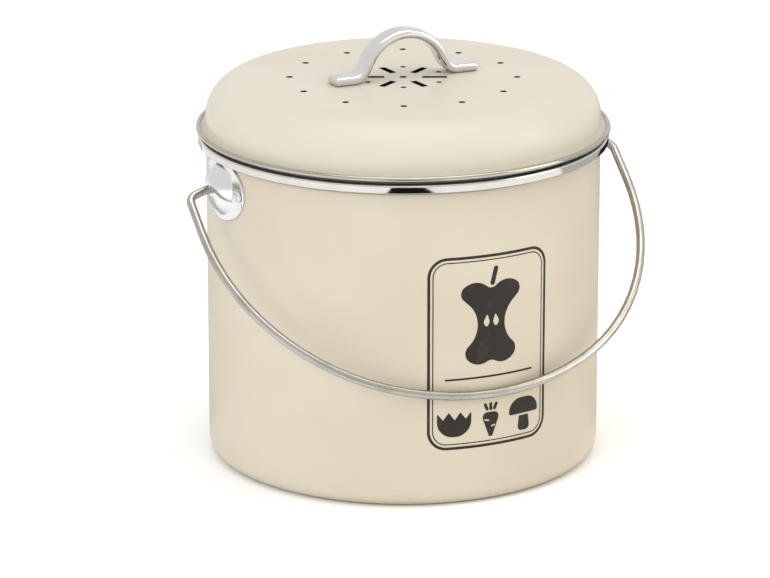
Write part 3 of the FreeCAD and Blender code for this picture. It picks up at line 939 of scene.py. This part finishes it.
@dataclass
class FrontPrint:
    """Kitchen scraps printed on the front of the pail, in a plain frame. Millimetres."""

    finishes: Finishes
    wall_radius: float = 90.6
    middle: float = 72.0
    width: float = 60.0
    height: float = 90.0
    film: float = 0.05
    sink: float = 0.03
    strip: float = 1.5
    frame_round: float = 9.0
    bar_round: float = 0.98    # share of a bar's half width
    nick_round: float = 0.15

    work: Workpiece = field(default_factory=Workpiece)

    def stamp(self, place: tuple[float, float], *outlines: Places) -> None:
        """Ink a shape, with the outlines after the first left clear.

        Args:
            place: The shape's middle from the print's middle.
            outlines: Corners from the shape's middle.
        """
        across, up = place
        edges = []
        for outline in outlines:
            edges += self.work.draw([level(x + across, y + up, rounding) for x, y, rounding in outline])
        self.work.fill(edges)

    def frame_line(self, inset: float, stroke: float) -> None:
        """Rounded rectangle drawn as a line.

        Args:
            inset: The line's outer edge from the print's edge.
            stroke: The line's width.
        """
        edges = []
        for depth in (inset, inset + stroke):
            half = self.width / 2 - depth
            tall = self.height / 2 - depth
            edges += self.work.draw(rectangle(-half, half, -tall, tall, self.frame_round - depth))
        self.work.fill(edges)

    def bar(self, middle: tuple[float, float], size: tuple[float, float], tilt: float) -> None:
        """Bar with round ends.

        Args:
            middle: The bar's middle.
            size: Its width and length.
            tilt: Its lean to the left, in degrees.
        """
        points = self.work.bm.verts
        known = set(points)
        half = size[0] / 2
        tall = size[1] / 2
        self.work.fill(self.work.draw(rectangle(-half, half, -tall, tall, half * self.bar_round)))
        new = [point for point in points if point not in known]
        place = Matrix.Translation(level(*middle).point) @ Matrix.Rotation(math.radians(tilt), 4, "Z")
        bmesh.ops.transform(self.work.bm, matrix=place, verts=new)

    def apple_core(self, place: tuple[float, float]) -> None:
        """Apple core with a stalk, and two pips left clear.

        Args:
            place: Its middle from the print's middle.
        """
        right = [
            (0, 15.5, 3.5), (7.5, 21.5, 8.5), (17.0, 15.0, 4.0), (1.0, 0, 13.0),
            (14.5, -13.5, 4.5), (7.0, -20.5, 7.5), (0, -17.0, 4.0),
        ]
        pip = [(2.0, 4.5, 0.4), (4.0, 0.5, 1.6), (2.2, -2.5, 0.9), (0.8, 0.5, 1.6)]
        pips = [[(hand * x, y, rounding) for x, y, rounding in pip] for hand in (-1, 1)]
        self.stamp(place, right + mirrored(right[1:-1]), *pips)
        self.bar((place[0] + 1.3, place[1] + 21.9), (2.2, 9.0), -14)

    def eggshell(self, place: tuple[float, float]) -> None:
        """Half an eggshell with a broken edge."""
        outline = [
            (8, 4, 0.3), (8, -7.5, 7.4), (-8, -7.5, 7.4), (-8, 4, 0.3),
            (-5.2, 0.6, 0.3), (-2.6, 4.2, 0.3), (0.2, 0.4, 0.3), (2.8, 4.0, 0.3), (5.4, 0.8, 0.3),
        ]
        self.stamp(place, outline)

    def carrot(self, place: tuple[float, float]) -> None:
        """Carrot with a cropped top, and two nicks left clear.

        Args:
            place: Its middle from the print's middle.
        """
        root = [(-5, 3.5, 2.4), (5, 3.5, 2.4), (0.8, -8, 0.7), (-0.8, -8, 0.7)]
        nicks = [
            [(-3.2, 0.4), (-0.8, 0.0), (-0.8, -0.8), (-3.0, -0.4)],
            [(2.3, -2.4), (0.3, -2.8), (0.3, -3.6), (2.1, -3.2)],
        ]
        self.stamp(place, root, *[[(x, y, self.nick_round) for x, y in nick] for nick in nicks])
        for lean in (-1, 0, 1):
            self.bar((place[0] + 2.3 * lean, place[1] + 6.1), (1.5, 3.8), -24 * lean)

    def mushroom(self, place: tuple[float, float]) -> None:
        """Mushroom: a cap and a stalk with a line left clear between them.

        Args:
            place: Its middle from the print's middle.
        """
        cap = [(-8, -0.5, 1.0), (8, -0.5, 1.0), (8, 7.2, 6.4), (-8, 7.2, 6.4)]
        stalk = [(-2.6, -1.4, 0.3), (-3.4, -8.5, 2.0), (3.4, -8.5, 2.0), (2.6, -1.4, 0.3)]
        for outline in (cap, stalk):
            self.stamp(place, outline)

    def wrap(self) -> None:
        """Cut the flat print into strips, give it its thickness and lay it round the wall."""
        mesh = self.work.bm
        cuts = int(self.width / self.strip)
        for index in range(1, cuts):
            bmesh.ops.bisect_plane(
                mesh,
                geom=[*mesh.verts, *mesh.edges, *mesh.faces],
                plane_co=(MM * (index * self.width / cuts - self.width / 2), 0, 0),
                plane_no=X_AXIS,
            )
        raised = bmesh.ops.extrude_face_region(mesh, geom=mesh.faces[:], use_keep_orig=True)["geom"]
        points = [item for item in raised if isinstance(item, BMVert)]
        bmesh.ops.translate(mesh, verts=points, vec=Z_AXIS * (self.film + self.sink) * MM)
        for point in mesh.verts:
            out = point.co.z + (self.wall_radius - self.sink) * MM
            turn = point.co.x / (self.wall_radius * MM)
            point.co = (out * math.sin(turn), -out * math.cos(turn), point.co.y + self.middle * MM)

    def build(self) -> None:
        """Draw the print and lay it on the pail."""
        self.frame_line(inset=0.0, stroke=1.3)
        self.frame_line(inset=2.3, stroke=0.5)
        self.apple_core(place=(0.0, 13.0))
        self.bar(middle=(0, -12.0), size=(0.9, 44), tilt=90)
        self.eggshell(place=(-17.5, -31.5))
        self.carrot(place=(0.0, -32.5))
        self.mushroom(place=(17.5, -32.0))
        self.wrap()
        mount(self.work.finish("front_print", self.finishes.ink), "pail", "cream_paint")


@dataclass
class Bail:
    """Round wire bail at rest on the front wall, with headed ends inside the ears. Millimetres."""

    finishes: Finishes
    pail_radius: float = 90.6
    pivot: float = 135.2
    wire: float = 2.0
    rest_gap: float = 0.3
    half_width: float = 108.0
    reach: float = 124.4
    shoulder: float = 100.0
    bow_slope: float = 24.0
    stub_tilt: float = 3.0
    stub_start: float = 99.0
    stub_bend: float = 6.0
    leg_bend: float = 5.0
    head_start: float = 92.1
    head_length: float = 1.8
    head_radius: float = 3.2
    wire_points: int = 32

    def path(self) -> Outline:
        """Middle line of the wire from end to end, laid flat in the XY plane."""
        slope = math.radians(self.bow_slope)
        run = self.shoulder * math.tan((math.pi / 2 - slope) / 2)
        bow = (self.half_width / math.cos(slope) - run) / math.tan(slope)
        bow_corner = self.reach + bow * (1 / math.cos(slope) - 1)
        shoulder_corner = bow_corner - self.half_width * math.tan(slope)
        right = [
            (self.half_width, -shoulder_corner, self.shoulder),
            (self.half_width, -self.stub_tilt, self.leg_bend),
            (self.stub_start, 0, self.stub_bend),
            (self.head_start + self.head_length, 0, 0),
        ]
        return [level(*corner) for corner in [*mirrored(right), (0, -bow_corner, bow), *right]]

    def build(self) -> None:
        """Sweep the wire between its two heads and lean it on the wall."""
        work = Workpiece()
        inward = X_AXIS * self.head_length * MM
        start = Matrix.Translation((-self.head_start * MM, 0, 0)) @ Matrix.Rotation(math.pi / 2, 4, "Y")
        loop = work.ring(self.head_radius * MM, start, self.wire_points)
        work.cap(loop)
        loop = work.push(loop, -inward)
        loop = work.push(loop, ORIGIN, self.wire / self.head_radius)
        loop = work.sweep(loop, self.path())
        loop = work.push(loop, ORIGIN, self.head_radius / self.wire)
        loop = work.push(loop, -inward)
        work.cap(loop)
        lean = math.acos((self.pail_radius + self.wire + self.rest_gap) / self.reach)
        work.place(Matrix.Translation((0, 0, self.pivot * MM)) @ Matrix.Rotation(lean, 4, "X"))
        mount(work.finish("bail_loop", self.finishes.wire), "bail", "wire_steel", "bail_wire")


@dataclass
class Lid:
    """Vented dome with a steel bead round its edge and a strap handle. Millimetres."""

    finishes: Finishes
    radius: float = 90.8
    top: float = 176.9
    edge_top: float = 155.0
    sheet: float = 0.8
    corner: float = 17.4
    flare: float = 2.5
    bead_middle: float = 94.05
    bead_wire: float = 2.2
    bead_points: int = 28
    flat: float = 66.0
    vent_turn: float = 4.5
    ring_radius: float = 52.1
    ring_count: int = 12
    ring_hole: float = 1.55
    middle_hole: float = 1.7
    slot_count: int = 6
    slot_start: float = 8.7
    slot_end: float = 20.0
    slot_width: float = 3.2
    slot_round: float = 0.3
    star_radius: float = 18.7
    star_hole: float = 1.35
    vent_round: float = 0.12
    vent_round_steps: int = 2
    hole_points: int = 24
    handle_rise: float = 23.1
    handle_length: float = 72.0
    handle_width: float = 10.6
    handle_sheet: float = 4.2
    handle_edge: float = 1.9
    handle_end: float = 1.4
    handle_end_steps: int = 6
    handle_slope: float = 62.0
    handle_bow: float = 20.5
    handle_foot: float = 6.5

    def vents(self, work: Workpiece) -> list[BMEdge]:
        """Outlines of every vent on the lid's top.

        Args:
            work: The lid.

        Returns:
            The outlines' edges.
        """
        lift = Matrix.Translation((0, 0, self.top * MM))
        edges = work.ring(self.middle_hole * MM, lift, self.hole_points)
        for radius, hole, count in (
            (self.ring_radius, self.ring_hole, self.ring_count),
            (self.star_radius, self.star_hole, self.slot_count),
        ):
            for index in range(count):
                turn = math.radians(self.vent_turn + index * 360 / count)
                place = Matrix.Rotation(turn, 4, "Z") @ Matrix.Translation((radius * MM, 0, 0))
                edges += work.ring(hole * MM, lift @ place, self.hole_points)
        half = self.slot_width / 2
        for index in range(self.slot_count):
            turn = math.radians(self.vent_turn + (index + 0.5) * 360 / self.slot_count)
            slot = work.draw(rectangle(self.slot_start, self.slot_end, -half, half, self.slot_round))
            points = list({point for edge in slot for point in edge.verts})
            bmesh.ops.transform(work.bm, matrix=lift @ Matrix.Rotation(turn, 4, "Z"), verts=points)
            edges += slot
        return edges

    def rim_at(self, work: Workpiece, height: float) -> list[BMEdge]:
        """Open edge of the turned part at a height.

        Args:
            work: The lid.
            height: The edge's height.

        Returns:
            The edge's loop.
        """
        return [
            edge
            for edge in work.bm.edges
            if edge.is_boundary and all(abs(point.co.z - height * MM) < WELD for point in edge.verts)
        ]

    def dome(self) -> None:
        """Pressed dome: turned shoulder and flare, and a flat top pierced with vents whose walls carry
        painted shade.
        """
        work = Workpiece()
        inside = self.radius - self.sheet
        ceiling = self.top - self.sheet
        work.lathe([
            upright(self.flat, self.top),
            upright(self.radius, self.top, self.corner),
            upright(self.radius, self.edge_top, self.flare),
            upright(self.bead_middle, self.edge_top),
            upright(self.bead_middle, self.edge_top - self.sheet),
            upright(inside, self.edge_top - self.sheet, self.flare + self.sheet),
            upright(inside, ceiling, self.corner - self.sheet),
            upright(self.flat, ceiling),
        ])
        top_rim = self.rim_at(work, self.top)
        low_rim = self.rim_at(work, ceiling)
        vents = self.vents(work)
        low_vents = work.push(vents, -Z_AXIS * self.sheet * MM)
        # The vent walls take the near-black steel, painted shade inside the holes.
        for wall in {face for edge in low_vents for face in edge.link_faces}:
            wall.material_index = 1
        work.fill(top_rim + vents)
        work.fill(low_rim + low_vents)
        work.soften(vents, self.vent_round * MM, self.vent_round_steps)
        piece = work.finish("lid_shell", self.finishes.lid_paint, self.finishes.shaded_punched)
        mount(piece, "lid", "cream_paint", "lid_dome")

    def bead(self) -> None:
        """Round steel bead rolled over the lid's edge."""
        work = Workpiece()
        middle = Matrix.Translation((self.bead_middle * MM, 0, (self.edge_top - self.sheet / 2) * MM))
        upended = middle @ Matrix.Rotation(math.pi / 2, 4, "X")
        section = work.ring(self.bead_wire / 2 * MM, upended, self.bead_points)
        work.turn(section, 2 * TURN_STEPS)
        mount(work.finish("lid_bead", self.finishes.bead), "lid", "bright_steel", "lid_edge_bead")

    def handle(self) -> None:
        """Strap bent into a bow with two flat feet."""
        work = Workpiece()
        slope = math.radians(self.handle_slope)
        foot = self.top + self.handle_sheet / 2
        bow_top = self.top + self.handle_rise - self.handle_sheet / 2
        peak = bow_top + self.handle_bow * (1 / math.cos(slope) - 1)
        foot_corner = (peak - foot) / math.tan(slope)
        half = self.handle_length / 2
        path = [
            upright(-half, foot),
            upright(-foot_corner, foot, self.handle_foot),
            upright(0, peak, self.handle_bow),
            upright(foot_corner, foot, self.handle_foot),
            upright(half, foot),
        ]
        side = self.handle_width / 2
        thick = self.handle_sheet / 2
        start = work.draw([
            Corner(path[0].point + Vector((0, across * side, up * thick)) * MM, self.handle_edge * MM)
            for across, up in ((-1, -1), (1, -1), (1, 1), (-1, 1))
        ])
        end = work.sweep(start, path)
        work.cap(start)
        work.cap(end)
        work.soften(start + end, self.handle_end * MM, self.handle_end_steps)
        mount(work.finish("lid_strap", self.finishes.strap), "lid", "bright_steel", "lid_handle")

    def build(self) -> None:
        """Build the lid's pieces and dress those that keep their CAD shape."""
        self.dome()
        self.bead()
        self.handle()
        dress("lid_seal", self.finishes.silicone)
        for node in ("lid_collar", "handle_screws", "handle_washers"):
            dress(node, self.finishes.plain)


@dataclass
class FilterSet:
    """Charcoal pad in its housing, over a snap-on cover. Millimetres."""

    finishes: Finishes
    radius: float = 59.4
    bottom: float = 161.5
    height: float = 9.0
    edge: float = 2.2
    crown: float = 0.5
    crown_start: float = 0.75    # share of the radius
    crown_end: float = 0.35      # share of the radius
    crown_bend: float = 9.0
    steps: int = 128

    def pad(self) -> None:
        """Round fleece pad with soft edges and a slightly sunken middle."""
        work = Workpiece()
        top = self.bottom + self.height
        work.lathe([
            upright(0, self.bottom),
            upright(self.radius, self.bottom, self.edge),
            upright(self.radius, top, self.edge),
            upright(self.radius * self.crown_start, top, self.crown_bend),
            upright(self.radius * self.crown_end, top - self.crown, self.crown_bend),
            upright(0, top - self.crown),
        ], self.steps)
        piece = work.finish("filter_fleece", self.finishes.fleece)
        mount(piece, "filter_pad", "charcoal_felt", "charcoal_filter")

    def build(self) -> None:
        """Build the pad and dress its housing and cover."""
        self.pad()
        for node in ("filter_housing", "filter_cover"):
            dress(node, self.finishes.filter)


# Studio

@dataclass
class Studio:
    """Pale floor, soft lights and the camera at the photograph's angle. Metres and degrees."""

    azimuth: float = -25.55
    elevation: float = 17.26
    distance: float = 2.0
    lens: float = 201.26
    aim_right: float = -0.00836
    aim_up: float = 0.07525
    sensor: float = 36.0         # millimetres, as the lens
    far_clip: float = 60.0
    floor_radius: float = 14.0
    floor_drop: float = 0.0001
    light_aim: float = 0.09
    tooth_share: float = 0.8     # a dark sheet's second tone
    tent_tint: Colour = (1.0, 0.99, 0.975)
    tent_strength: float = 0.92

    def floor(self) -> None:
        """Round pale floor under the bin."""
        work = Workpiece()
        loop = work.ring(self.floor_radius, Matrix.Translation((0, 0, -self.floor_drop)), 96)
        work.cap(loop)
        sheet = StudioSheet("studio_floor", (0.95, 0.95, 0.945), (0.935, 0.935, 0.93))
        work.finish("studio_floor", sheet.material())

    def dark_sheet(self, name: str, left: float, right: float, near: float, far: float, tone: float) -> None:
        """Dark sheet on the floor that only shows in reflections.

        Args:
            name: The sheet's name.
            left: Its left edge from the bin's axis, as the camera sees it.
            right: Its right edge.
            near: Its edge nearest the camera, in front of the bin's axis.
            far: Its edge away from the camera.
            tone: How pale it is.
        """
        work = Workpiece()
        # A darker sheet lies above a paler one.
        lift = MM * (1 - tone)
        middle = Matrix.Translation(((left + right) / 2, -(near + far) / 2, lift))
        size = Matrix.Diagonal((right - left, near - far, 1, 1))
        turn = Matrix.Rotation(math.radians(self.azimuth), 4, "Z")
        bmesh.ops.create_grid(work.bm, x_segments=1, y_segments=1, size=0.5, matrix=turn @ middle @ size)
        tooth = self.tooth_share * tone
        sheet = StudioSheet(name, (tone, tone, tone), (tooth, tooth, tooth))
        piece = work.finish(name, sheet.material())
        piece.visible_camera = False
        piece.visible_diffuse = False
        piece.visible_shadow = False

    def camera(self) -> None:
        """Camera on the photograph's line of sight."""
        turn = math.radians(self.azimuth)
        rise = math.radians(self.elevation)
        right = Vector((math.cos(turn), math.sin(turn), 0))
        back = Vector((math.sin(turn) * math.cos(rise), -math.cos(turn) * math.cos(rise), math.sin(rise)))
        aim = right * self.aim_right + Z_AXIS * self.aim_up
        data = bpy.data.cameras.new("photo_camera")
        data.sensor_width = self.sensor
        data.lens = self.lens
        data.clip_end = self.far_clip
        camera = bpy.data.objects.new("photo_camera", data)
        axes = Matrix((right, back.cross(right), back)).transposed().to_4x4()
        camera.matrix_world = Matrix.Translation(aim + back * self.distance) @ axes
        bpy.context.scene.collection.objects.link(camera)
        bpy.context.scene.camera = camera

    def light(
        self, name: str, place: Vector, size: tuple[float, float], power: float, tint: Colour
    ) -> bpy.types.Object:
        """Soft light that looks at the bin.

        Args:
            name: The light's name.
            place: Where it hangs.
            size: Its width and height.
            power: Watts.
            tint: Its colour.

        Returns:
            The light.
        """
        data = bpy.data.lights.new(name, "AREA")
        data.shape = "RECTANGLE"
        data.size, data.size_y = size
        data.energy = power
        data.color = tint
        lamp = bpy.data.objects.new(name, data)
        aim = Z_AXIS * self.light_aim
        turn = (place - aim).to_track_quat("Z", "Y").to_matrix().to_4x4()
        lamp.matrix_world = Matrix.Translation(place) @ turn
        lamp.visible_camera = False
        bpy.context.scene.collection.objects.link(lamp)
        return lamp

    def surroundings(self) -> None:
        """Even white tent."""
        world = bpy.data.worlds.new("studio_tent")
        world.use_nodes = True
        bpy.context.scene.world = world
        tent = world.node_tree.nodes["Background"]
        tent.inputs["Color"].default_value = (*self.tent_tint, 1.0)
        tent.inputs["Strength"].default_value = self.tent_strength

    def build(self) -> None:
        """Set up the studio."""
        bpy.context.scene.view_settings.view_transform = "Standard"
        self.floor()
        self.dark_sheet("front_mat", left=-0.079, right=0.143, near=1.60, far=0.32, tone=0.01)
        self.dark_sheet("back_sheet", left=-0.33, right=1.60, near=-0.02, far=-2.00, tone=0.52)
        self.dark_sheet("right_mat", left=0.08, right=0.42, near=-0.34, far=-1.00, tone=0.02)
        self.camera()
        self.surroundings()
        self.light("overhead", Vector((0.1, -0.2, 1.9)), (1.6, 1.6), power=12.5, tint=(1.0, 1.0, 1.0))
        softbox = (1.0, 1.4)
        left = self.light(
            "left_softbox", Vector((-1.6, -0.9, 0.8)), softbox, power=15.0, tint=(0.96, 1.0, 1.0)
        )
        # The left ear faces this light, and a lamp mirrored in it would leave a white spot.
        left.visible_glossy = False
        self.light("right_softbox", Vector((1.5, -1.1, 0.9)), softbox, power=11.0, tint=(1.0, 0.92, 0.76))


def main() -> None:
    """Build the studio and every piece."""
    logging.basicConfig(level=logging.INFO, format="%(message)s")
    finishes = Finishes()
    Studio().build()
    Pail(finishes).build()
    FrontPrint(finishes).build()
    Bail(finishes).build()
    dress("inner_bucket", finishes.bucket)
    Lid(finishes).build()
    FilterSet(finishes).build()


if __name__ == "__main__":
    main()
